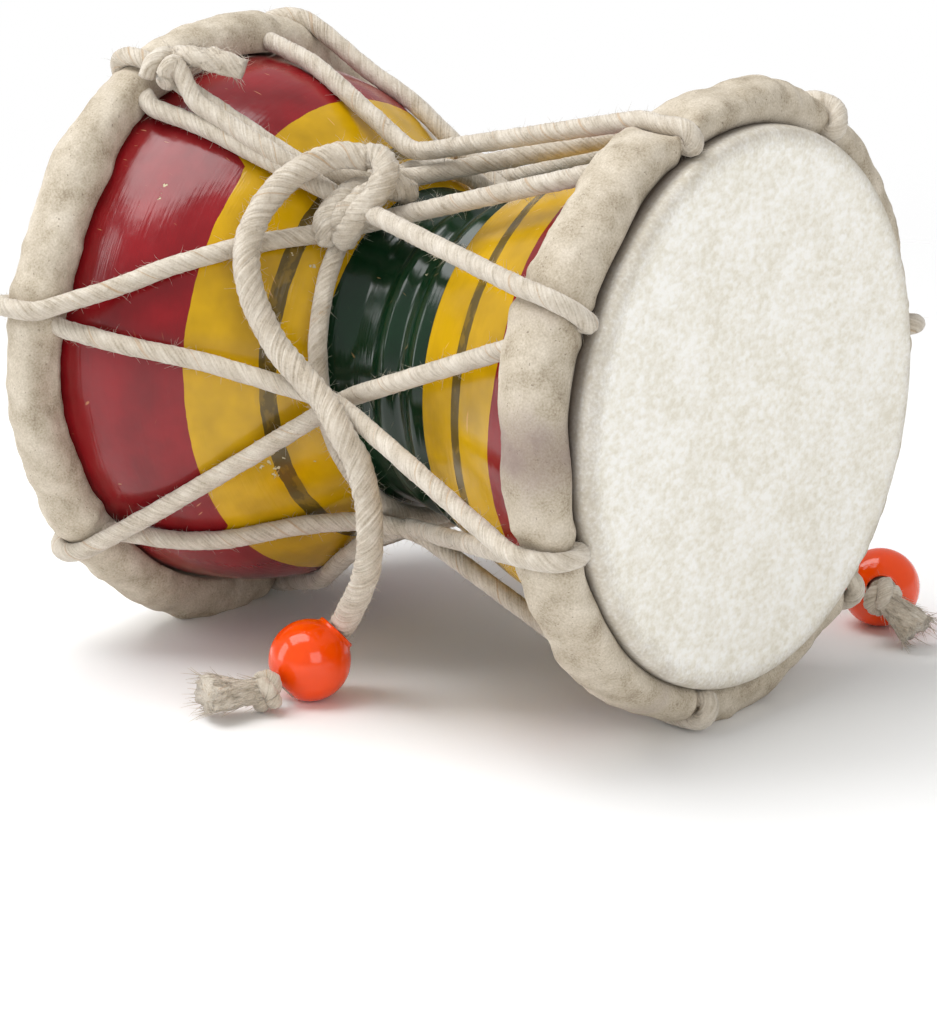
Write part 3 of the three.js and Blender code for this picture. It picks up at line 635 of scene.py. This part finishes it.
def shell_surface(sides, bowl_step, waist_step):
    """The turned shell: its outside profile is the listed line with its corners rounded, and the
    whole closed profile, bore included, is turned about the X axis. The outside is a little
    uneven, as wood is after drying."""
    fine = np.arange(-MOUTH_X, MOUTH_X + 0.05, 0.1)
    listed = shell_radius(fine)

    def rounded(spread):
        """The listed radii with a bell-weighted mean this many tenths of a millimetre wide."""
        weights = np.exp(-0.5 * (np.arange(-60, 61) / spread) ** 2)
        return np.convolve(np.pad(listed, 60, "reflect", reflect_type="odd"),
                           weights / weights.sum(), "valid")
    at_waist = np.clip((np.abs(fine - 5) - 11) / 5, 0, 1)
    outside = rounded(3.5) * (1 - at_waist) + rounded(16) * at_waist
    outside -= 0.55 * np.exp(-((fine - 14.0) / 0.45) ** 2)
    x = np.concatenate([
        np.arange(-MOUTH_X, -8, bowl_step), np.arange(-8, 17, waist_step),
        np.arange(17, MOUTH_X, bowl_step), [MOUTH_X]])
    inner = resample(np.pad(SHELL_INSIDE, ((0, 0), (0, 1))), 6)[:, :2]
    profile = np.vstack([np.stack([x, np.interp(x, fine, outside)], -1), inner])
    angle = np.linspace(0, 360, sides, endpoint=False)
    points = around(profile[:, :1], profile[:, 1:], angle[None])
    lumps = 0.12 * mottle(points, 14) * (np.arange(len(profile)) < len(x))[:, None]
    points = around(profile[:, :1], profile[:, 1:] + lumps, angle[None])
    band = profile[:, :1] + band_shift(profile[:, :1], angle[None])
    grain = np.stack([band, wear_at(profile[:, :1], angle[None]), band * 0], -1)
    return grid(points, grain, wrap_rows=True)


def wear_at(x, degrees):
    """How chipped the lacquer is, from 0 to about 1: bells at the listed places."""
    total = 0.0
    for middle, angle, width, strength in WORN:
        off = (np.mod(degrees - angle + 180, 360) - 180) * 0.6
        total = total + strength * np.exp(-(((x - middle) / width) ** 2) - (off / width) ** 2)
    return total


def band_shift(x, degrees):
    """How far the paint has strayed along the drum: listed waves round it at the two painted
    edges that were cut in by hand, fading away from them."""
    left = wave_at(LEFT_EDGE, degrees, 1) * np.exp(-((x + 24) / 4) ** 2)
    right = wave_at(RIGHT_EDGE, degrees, 1) * np.exp(-((x - 32.6) / 4) ** 2)
    return left + right


# ---- heads ------------------------------------------------------------------------------------


def loop_distance(rim, i, degrees, phase):
    """How far a place on a rim lies from the middle of a lacing loop, round the rim, in mm."""
    middle = rim.loops[i] + rim.slant[i] * np.maximum(phase, 0) / SLANT_PHASE
    apart = np.mod(degrees - middle + 180, 360) - 180
    return np.radians(apart) * (rim.radius + rim.half_height)


def rim_place(rim, degrees, phase, lift=0.0, pressed=1.0):
    """A rolled rim's section carried round the drum, as x and r: an ellipse whose half width and
    height follow the rim's listed waves, drawn in by a bell-shaped dent at every loop."""
    across, out = np.cos(np.radians(phase)), np.sin(np.radians(phase))
    column_edge = np.where(across < 0, wave_at(rim.waves, degrees, 1), wave_at(rim.waves, degrees, 2))
    pinch, press = 0.0, 0.0
    for i in range(LOOPS):
        apart = loop_distance(rim, i, degrees, phase)
        pinch = pinch + rim.pinch[i] * np.exp(-(apart / 4.3) ** 2)
        press = press + 0.42 * np.exp(-(apart / 1.7) ** 2) - 0.3 * np.exp(-((np.abs(apart) - 3.1) / 1.3) ** 2)
    press = press * pressed
    rise = (wave_at(rim.waves, degrees, 3) - pinch) * np.maximum(out, 0)
    x = rim.x + rim.side * across * (rim.half_width + column_edge * np.abs(across) + lift - press)
    r = rim.radius + out * (rim.half_height + rise + lift - press)
    return x, r


def head_surface(rim, sides):
    """One hide head as a surface of revolution with an uneven rim: the flat skin, its rounded
    shoulder, the collar down to the groove, round the roll, and back inside over the mouth. The
    roll is wrinkled across its run, as wet hide is when it is rolled round a ring."""
    angle = np.linspace(0, 360, sides, endpoint=False)[None]
    flat = np.concatenate([[0.02], np.linspace(2, 26, 10), np.linspace(28, SHOULDER_RADIUS, 8)])[:, None]
    face_x = FACE_X + 0 * flat + 0 * angle
    bend = np.radians(np.linspace(8, 90, 14))[:, None]
    drop, width = FACE_X - GROOVE_X, COLLAR_RADIUS - SHOULDER_RADIUS
    shoulder_x = FACE_X - drop * (1 - np.cos(bend) ** SHOULDER_POWER) + 0 * angle
    shoulder_r = SHOULDER_RADIUS + width * np.sin(bend) ** SHOULDER_POWER + 0 * angle
    phase = np.concatenate([np.linspace(-40, 178, 60), [184, 190, 194]])[:, None]
    roll_x, roll_r = rim_place(rim, angle + 0 * phase, phase + 0 * angle)
    out = np.sin(np.radians(phase))
    place = around(roll_x * 0.35, roll_r, angle)
    wrinkle = 0.3 * mottle(place, 2.6) + 0.4 * mottle(place + 9, 6.0)
    fine = 0.07 * mottle(around(roll_x, roll_r, angle) + 30, 0.8)
    swell = (wrinkle + fine) * np.clip((phase + 35) / 40, 0, 1)
    roll_x = roll_x + rim.side * np.cos(np.radians(phase)) * swell
    roll_r = roll_r + out * swell
    foot = roll_x[-1:]
    wood = shell_radius(foot) + HIDE_CLEARANCE
    mouth = shell_radius(rim.side * MOUTH_X) + HIDE_CLEARANCE
    inside_x = rim.side * np.array([[MOUTH_X], [FACE_X - SKIN], [FACE_X - SKIN]]) + 0 * angle
    inside_r = np.array([[mouth], [mouth], [0.02]]) + 0 * angle
    sign = rim.side
    x = np.vstack([sign * face_x, sign * shoulder_x, roll_x, foot, inside_x])
    r = np.vstack([flat + 0 * angle, shoulder_r, roll_r, wood, inside_r])
    points = around(x, r, angle)
    points[..., 2] = np.maximum(points[..., 2], 0.0)
    skin_rows = len(flat) + len(bend)
    # how far out towards the collar a row lies; drum_hide turns it into the collar's nap and painted shade
    near_edge = np.clip((r - 30.5) / 10, 0, 1) ** 1.5
    zone = np.where(np.arange(len(x))[:, None] < skin_rows, near_edge, 2.0)
    stain = rim_stain(rim, angle, points)
    # painted shade in the groove: how far each row round the groove is darkened in drum_hide
    depth = np.zeros(len(x))
    depth[skin_rows - 4:skin_rows + 4] = (0.12, 0.3, 0.65, 0.9, 0.95, 0.75, 0.4, 0.15)
    grain = np.stack(np.broadcast_arrays(zone, stain, depth[:, None]), -1)
    return grid(points, grain, cap=True)


def rim_stain(rim, angle, points):
    """How stained the hide is: bells round the listed angles."""
    marks = ((2, 9, 0.75), (27, 4, 0.35), (-62, 6, 0.4), (71, 5, 0.3)) if rim.side > 0 else (
        (60, 7, 0.3), (-70, 10, 0.35))
    total = 0.0
    for middle, width, strength in marks:
        total = total + strength * np.exp(-((angle - middle) / width) ** 2)
        total = total + strength * np.exp(-((angle - 360 - middle) / width) ** 2)
    return total + 0.0 * points[..., 0]


# ---- lacing -----------------------------------------------------------------------------------


def over_rim(rim, i):
    """A loop over the outside of a rim, from its waist side down into the groove."""
    phase = np.linspace(124, -12, 18)
    degrees = rim.loops[i] + rim.slant[i] * np.maximum(phase, 0) / SLANT_PHASE
    x, r = rim_place(rim, degrees, phase, OVER_LIFT - SNUG, 0.0)
    points = around(x, r, degrees)
    points[:, 2] = np.maximum(points[:, 2], OVER_LIFT)
    mouth = around(rim.side * TUNNEL_X, rim.tunnel[0] - 0.3, rim.loops[i])
    return np.vstack([points, mouth[None]])


def through_rim(rim, i):
    """A strand inside a rim, from the groove to where it comes out on the waist side."""
    start = around(rim.side * TUNNEL_X, rim.tunnel[0], rim.loops[i])
    outlet = around(rim.side * OUTLET_X, rim.tunnel[1], rim.loops[i] - rim.drift[i])
    return np.stack([start, outlet])


def over_bowl(start, end):
    """Points that lift a straight strand off the shell's bowl where it would cut into the wood."""
    line = start + (end - start) * np.array([[0.14], [0.3], [0.5], [0.75]])
    out = line[:, 1:] - (0, AXIS_HEIGHT)
    reach = np.linalg.norm(out, axis=1)
    least = shell_radius(line[:, 0]) + LACING_RADIUS + GAP + 0.1
    line[:, 1:] = out * (least / reach)[:, None] + (0, AXIS_HEIGHT)
    return line[reach < least]


def right_end(i, goes_over):
    """A strand's end at the right rim: over its outside, or through it."""
    return over_rim(RIGHT_RIM, i) if goes_over else through_rim(RIGHT_RIM, i)[::-1]


def lacing_strands():
    """All fourteen strands, each from the left rim over its crossing to the right rim."""
    strands = []
    for i in range(LOOPS):
        before = (i - 1) % LOOPS
        upper, lower = (np.array([around(*p) for p in places]) for places in CROSSINGS[i])
        through, over = through_rim(LEFT_RIM, before), over_rim(LEFT_RIM, i)[::-1]
        strands.append(np.vstack([through, over_bowl(through[1], upper[0]), upper,
                                  right_end(i, i != LOWER_GOES_OVER)]))
        strands.append(np.vstack([over, over_bowl(over[-1], lower[0]), lower,
                                  right_end(before, before == LOWER_GOES_OVER)]))
    return strands


def taut(points, step=0.7):
    """A strand's line: straight between its supports, bent round them on short curves."""
    line = resample(points, step)
    tight, easy = eased(line, 0.9 / step), eased(line, 2.0 / step)
    share = np.clip((np.abs(line[:, :1]) - 36) / 4, 0, 1)
    return easy * (1 - share) + tight * share


def waist_turn():
    """The turn of the lacing's tail round the waist: a ring that swings along the drum once."""
    degrees = 55 - np.linspace(0, 360, 160)
    x = -5.4 - 2.9 * np.sin(np.radians(degrees + 5))
    return around(x, shell_radius(x) + LACING_RADIUS + GAP + 0.35, degrees)


def tie_knot():
    """The coil that ties the lacing's ends beside the left rim, and its tail to the waist."""
    turn = np.linspace(0, 2 * np.pi * 1.25, 26)
    coil = around(-41.4 + 4.2 * turn / turn[-1], 47.9 + 1.7 * np.sin(turn), 63.5 - 3 * np.cos(turn))
    tail = [around(*p) for p in ((-33, 44.6, 59.8), (-20, 38.6, 57.5), (-9, 30.5, 57))]
    return np.vstack([coil, tail])


def lacing_surface(sides, pitch):
    """Every strand, the waist turn, the tie knot and its tuft, as twisted cords."""
    paths = [taut(points) for points in lacing_strands()]
    paths += [waist_turn(), eased(resample(tie_knot(), 0.5), 1.5)]
    cords = [
        twisted_cord(path, LACING_RADIUS, LACING_YARNS, pitch, sides, 0.09, seed=k * 1.3)
        for k, path in enumerate(paths)
    ]
    tuft = spline([around(*p) for p in TUFT], 0.5)
    cords.append(twisted_cord(tuft, LACING_RADIUS + 0.4, 2, 14, sides, depth=0.3, rough=0.14, seed=3.3))
    return joined(cords), paths, tuft


# ---- strikers ---------------------------------------------------------------------------------


def striker_path(route, bead):
    """A striker cord's line: a smooth curve down to its bead, then straight through that."""
    hole = unit(np.array(bead.hole))
    inside = np.array(bead.middle) + hole * BEAD_RADIUS * np.array([[1.1], [0], [-0.94]])
    return np.vstack([spline([*route, inside[0]], 0.45), resample(inside, 0.45)[1:]])


def bead_surface(bead, sides=72):
    """A moulded bead turned about its hole: a sphere with a fine seam round its middle, a small
    raised lip at one end of its bore, and the bore's wall."""
    bore = STRIKER_RADIUS + GAP + 0.15
    start = math.asin(bore / BEAD_RADIUS)
    angle = np.linspace(-np.pi / 2 + start, np.pi / 2 - start, 44)
    seam = 1 + 0.006 * np.exp(-(angle / 0.02) ** 2)
    arc = np.stack([BEAD_RADIUS * np.cos(angle) * seam, BEAD_RADIUS * np.sin(angle) * seam], -1)
    top = arc[-1]
    lip = top + np.array([(0.62, -0.2), (0.66, 0.12), (0.5, 0.34), (0.2, 0.38), (0.03, 0.2)])
    wall = np.linspace(top - (0, 0.2), arc[0] + (0, 0.1), 8)
    profile = np.vstack([arc[:-3], lip, wall])
    turn = np.linspace(0, 2 * np.pi, sides, endpoint=False)[None]
    axis = unit(np.array(bead.hole))
    side = unit(np.cross(axis, (0.3, 0.1, 0.9)))
    up = np.cross(axis, side)
    points = (np.array(bead.middle) + profile[:, None, 1:] * axis
              + profile[:, None, :1] * (np.cos(turn)[..., None] * side + np.sin(turn)[..., None] * up))
    return grid(points, points, wrap_rows=True)


def end_knot_surface(knot, seed):
    """An end knot and its tassel: a cord wound twice round while it rises and dips three times,
    which makes an overhand knot's ball, and a ridged brush that spreads to its cut end."""
    middle, tail = np.array(knot.middle), np.array(knot.tail)
    run = unit(tail - middle)
    side = unit(np.cross((0, 0, 1), run))
    up = np.cross(run, side)
    u = np.linspace(0, 2 * np.pi, 150)[:, None]
    reach = 1.42 + 0.72 * np.cos(3 * u)
    line = middle + reach * (np.cos(2 * u) * side + np.sin(2 * u) * up) + 0.95 * np.sin(3 * u) * run
    ball = twisted_cord(line, 1.25, 3, 4.5, 20, depth=0.16, rough=0.1, seed=seed)
    share = np.linspace(0, 1, 40)[:, None]
    wide = np.interp(share, (0, 0.1, 0.42, 0.75, 1), (1.0, 1.9, 2.3, knot.spread * 0.85, knot.spread * 0.98))
    high = np.interp(share, (0, 0.1, 0.42, 0.75, 1), (1.0, 1.8, 1.9, 2.5, 2.7))
    turn = np.linspace(0, 2 * np.pi, 64, endpoint=False)[None]
    strand = np.stack(np.broadcast_arrays(
        4 * np.cos(turn + 1.2 * share), 4 * np.sin(turn + 1.2 * share), share * 3 + seed), -1)
    ridge = 1 + 0.13 * mottle(strand, 0.7) + 0.05 * mottle(strand, 0.3)
    length = np.linalg.norm(tail - middle)
    ragged = 1 + 0.10 * share * mottle(strand + 5, 0.8)
    points = (middle + (share * ragged * length)[..., None] * run
              + (wide * np.cos(turn) * ridge)[..., None] * side
              + (high * np.sin(turn) * ridge)[..., None] * up)
    points[..., 2] = np.maximum(points[..., 2], 0.12)
    brush = grid(points, strand, cap=True)
    rng = np.random.default_rng(int(seed * 10) + 5)
    spot = rng.integers(0, 64, 260), rng.integers(2, 40, 260)
    root = points[spot[1], spot[0]]
    heading = unit(points[np.minimum(spot[1] + 3, 39), spot[0]] - points[spot[1] - 2, spot[0]]
                   + rng.normal(0, 0.12, (260, 3)))
    loose = fibres(root, heading, rng.uniform(1.0, 3.6, 260), 0.07, rng, 0.8)
    return joined([ball, brush, loose])


def waist_knot_surface(turns, seed):
    """The turns of thick cord that bind a striker to the gathered lacing."""
    paths = [spline([around(*p) for p in places], 0.4) for places in turns]
    cords = [twisted_cord(p, STRIKER_RADIUS * 0.97, STRIKER_YARNS, 9, 36, 0.14, 0.12, seed + k)
             for k, p in enumerate(paths)]
    return joined(cords), paths


# ---- sizes and colours that a user may change -------------------------------------------------


class DamaruShellSettings(bpy.types.PropertyGroup):
    """The turned shell."""

    sides: IntProperty(name="Sides", description="Faces round the shell", default=380, min=24)
    bowl_step: FloatProperty(name="Bowl step", description="Row spacing on the bowls, in mm", default=1.1)
    waist_step: FloatProperty(name="Waist step", description="Row spacing at the waist, in mm", default=0.22)


class DamaruHeadSettings(bpy.types.PropertyGroup):
    """The hide heads."""

    sides: IntProperty(name="Sides", description="Faces round a head", default=620, min=60)


class DamaruCordSettings(bpy.types.PropertyGroup):
    """The lacing and the strikers."""

    lacing_sides: IntProperty(name="Lacing sides", description="Faces round the thin cord", default=28, min=6)
    lacing_pitch: FloatProperty(
        name="Lacing twist", description="Run of one full twist of the thin cord, in mm", default=8.5)
    striker_sides: IntProperty(
        name="Striker sides", description="Faces round the thick cord", default=40, min=8)
    striker_pitch: FloatProperty(
        name="Striker twist", description="Run of one full twist of the thick cord, in mm", default=10.0)
    bead_colour: FloatVectorProperty(
        name="Bead colour", description="Colour of the striker beads", subtype="COLOR", size=4,
        default=srgb("#ff4e00"), min=0, max=1)


class DamaruStageSettings(bpy.types.PropertyGroup):
    """The studio."""

    key_power: FloatProperty(
        name="Key light", description="Power of the overhead softbox", default=5.0, unit="POWER")
    sky: FloatProperty(name="Surround", description="Brightness of the white surround", default=0.5)


# ---- operators --------------------------------------------------------------------------------


class DAMARU_OT_stage(bpy.types.Operator):
    """Make the camera, the white floor and the soft lights"""

    bl_idname = "damaru.stage"
    bl_label = "Studio"

    def execute(self, context):
        settings = context.scene.damaru_stage
        camera = bpy.data.objects.new("camera", bpy.data.cameras.new("camera"))
        context.scene.collection.objects.link(camera)
        context.scene.camera = camera
        eye = Vector(EYE) * MM
        target = Vector(LOOK_AT) * MM
        camera.location = eye
        camera.rotation_euler = (target - eye).to_track_quat("-Z", "Y").to_euler()
        camera.data.lens = LENS
        camera.data.sensor_width = 36
        camera.data.clip_start = 0.01
        context.scene.view_settings.view_transform = "Standard"
        world = bpy.data.worlds.new("surround")
        world.use_nodes = True
        background = world.node_tree.nodes["Background"]
        tree = world.node_tree
        height = add(tree, "SeparateXYZ", {0: add(tree, "TexCoord").outputs["Generated"]}).outputs["Z"]
        above = add(tree, "MapRange", {"Value": height, "From Min": -0.02, "From Max": 0.1}).outputs[0]
        tone = blend(tree, above, srgb("#ffffff"), (settings.sky, settings.sky, settings.sky, 1.0))
        tree.links.new(tone, background.inputs["Color"])
        context.scene.world = world
        for k, (place, aim, width, height, share) in enumerate(LIGHTS):
            lamp = bpy.data.lights.new(f"softbox_{k}", "AREA")
            lamp.shape = "RECTANGLE"
            lamp.size, lamp.size_y = width * MM, height * MM
            lamp.energy = settings.key_power * share
            box = bpy.data.objects.new(lamp.name, lamp)
            box.location = Vector(place) * MM
            box.rotation_euler = (Vector(aim) - Vector(place)).to_track_quat("-Z", "Y").to_euler()
            context.scene.collection.objects.link(box)
        reach = np.array([(-6, -6), (6, -6), (6, 6), (-6, 6)]) / MM
        corners = np.pad(reach, ((0, 0), (0, 1)))
        floor = mesh_piece(
            "floor", Surface(corners, np.array([[0, 1, 2, 3]]), NO_TRIS, corners), studio_paper())
        floor.parent = None
        return {"FINISHED"}


class DAMARU_OT_strikers(bpy.types.Operator):
    """Make both striker cords with their beads and end knots"""

    bl_idname = "damaru.strikers"
    bl_label = "Strikers"

    def execute(self, context):
        settings = context.scene.damaru_cords
        # the thick cord's lit colour and its painted-shade colour
        thick = cotton("striker_cotton", "#c2b6a4", "#8c7e69")
        plastic = moulded_plastic(tuple(settings.bead_colour))
        sets = (
            ("front", FRONT_ROUTE, FRONT_BEAD, FRONT_KNOT, "hanging", 0.3),
            ("back", BACK_ROUTE, BACK_BEAD, BACK_KNOT, "loose", 2.1),
        )
        for name, route, bead, knot, lay, seed in sets:
            path = striker_path(route, bead)
            surface = twisted_cord(
                path, STRIKER_RADIUS, STRIKER_YARNS, settings.striker_pitch, settings.striker_sides,
                0.14, 0.05, seed)
            cord = mesh_piece(f"striker_{name}", faces_outward(surface), thick)
            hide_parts(f"striker_cord_{name}")
            ball = mesh_piece(
                f"bead_{name}_moulded", faces_outward(bead_surface(bead)), plastic)
            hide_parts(f"bead_{name}")
            end = mesh_piece(
                f"end_knot_{name}_tassel", end_knot_surface(knot, seed), thick)
            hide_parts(f"end_knot_{name}")
            fuzz = stray_fibres(path, STRIKER_RADIUS, 14, 2.0, int(seed * 10))
            lint = mesh_piece(f"striker_lint_{name}", fuzz, thick)
            lint.parent = cord
        return {"FINISHED"}


class DAMARU_OT_shell(bpy.types.Operator):
    """Make the turned and lacquered shell"""

    bl_idname = "damaru.shell"
    bl_label = "Shell"

    def execute(self, context):
        settings = context.scene.damaru_shell
        surface = shell_surface(settings.sides, settings.bowl_step, settings.waist_step)
        shell = mesh_piece("lacquered_shell", faces_outward(surface), lacquered_wood())
        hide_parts("shell")
        return {"FINISHED"}


class DAMARU_OT_heads(bpy.types.Operator):
    """Make both hide heads with their rolled rims"""

    bl_idname = "damaru.heads"
    bl_label = "Heads"

    def execute(self, context):
        hide = drum_hide()
        for name, rim in (("left", LEFT_RIM), ("right", RIGHT_RIM)):
            surface = head_surface(rim, context.scene.damaru_heads.sides)
            head = mesh_piece(f"{name}_hide", faces_outward(surface), hide)
            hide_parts(f"{name}_head")
        return {"FINISHED"}


class DAMARU_OT_lacing(bpy.types.Operator):
    """Make the lacing, its tie knot and the knots that bind the strikers at the waist"""

    bl_idname = "damaru.lacing"
    bl_label = "Lacing"

    def execute(self, context):
        settings = context.scene.damaru_cords
        # the thin cord's lit colour and its painted-shade colour
        thin = cotton("lacing_cotton", "#c4b9a8", "#968872")
        surface, paths, tuft = lacing_surface(settings.lacing_sides, settings.lacing_pitch)
        lacing = mesh_piece("laced_cord", surface, thin)
        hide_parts("lacing")
        fuzz = [
            stray_fibres(p, LACING_RADIUS, 6 if k in FRONT_STRANDS else 1.5, 1.9, 100 + k)
            for k, p in enumerate(paths)
        ]
        fuzz.append(stray_fibres(tuft, LACING_RADIUS + 0.4, 24, 3.0, 99, 0.05))
        lint = mesh_piece("lacing_lint", joined(fuzz), thin)
        lint.parent = lacing
        for name, turns, seed in (("front", FRONT_TURNS, 0.6), ("back", BACK_TURNS, 1.9)):
            surface, paths = waist_knot_surface(turns, seed)
            fuzz = [stray_fibres(p, STRIKER_RADIUS, 26, 2.6, 200 + k) for k, p in enumerate(paths)]
            knot = mesh_piece(f"waist_knot_{name}_cord", joined([surface, *fuzz]), thin)
            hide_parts(f"waist_knot_{name}")
        return {"FINISHED"}


class DAMARU_PT_panel(bpy.types.Panel):
    """The drum's pieces in the sidebar"""

    bl_idname = "DAMARU_PT_panel"
    bl_label = "Damaru"
    bl_space_type = "VIEW_3D"
    bl_region_type = "UI"
    bl_category = "Damaru"

    def draw(self, context):
        for operator in OPERATORS:
            self.layout.operator(operator.bl_idname)
        for name in SETTINGS:
            group = getattr(context.scene, name)
            box = self.layout.box()
            for key in group.bl_rna.properties.keys():
                if key not in ("rna_type", "name"):
                    box.prop(group, key)


# the camera and the cords come first
OPERATORS = (
    DAMARU_OT_stage, DAMARU_OT_strikers, DAMARU_OT_shell, DAMARU_OT_heads, DAMARU_OT_lacing)
SETTINGS = {
    "damaru_stage": DamaruStageSettings,
    "damaru_cords": DamaruCordSettings,
    "damaru_shell": DamaruShellSettings,
    "damaru_heads": DamaruHeadSettings,
}


def register():
    """Registers the settings, operators and panel."""
    for name, group in SETTINGS.items():
        bpy.utils.register_class(group)
        setattr(bpy.types.Scene, name, PointerProperty(type=group))
    for part in (*OPERATORS, DAMARU_PT_panel):
        bpy.utils.register_class(part)


def unregister():
    """Takes them out again."""
    for part in (DAMARU_PT_panel, *OPERATORS[::-1]):
        bpy.utils.unregister_class(part)
    for name, group in SETTINGS.items():
        delattr(bpy.types.Scene, name)
        bpy.utils.unregister_class(group)


def main():
    """Builds every piece in order."""
    register()
    bpy.ops.damaru.stage()
    bpy.ops.damaru.strikers()
    bpy.ops.damaru.shell()
    bpy.ops.damaru.heads()
    bpy.ops.damaru.lacing()


if __name__ == "__main__":
    main()
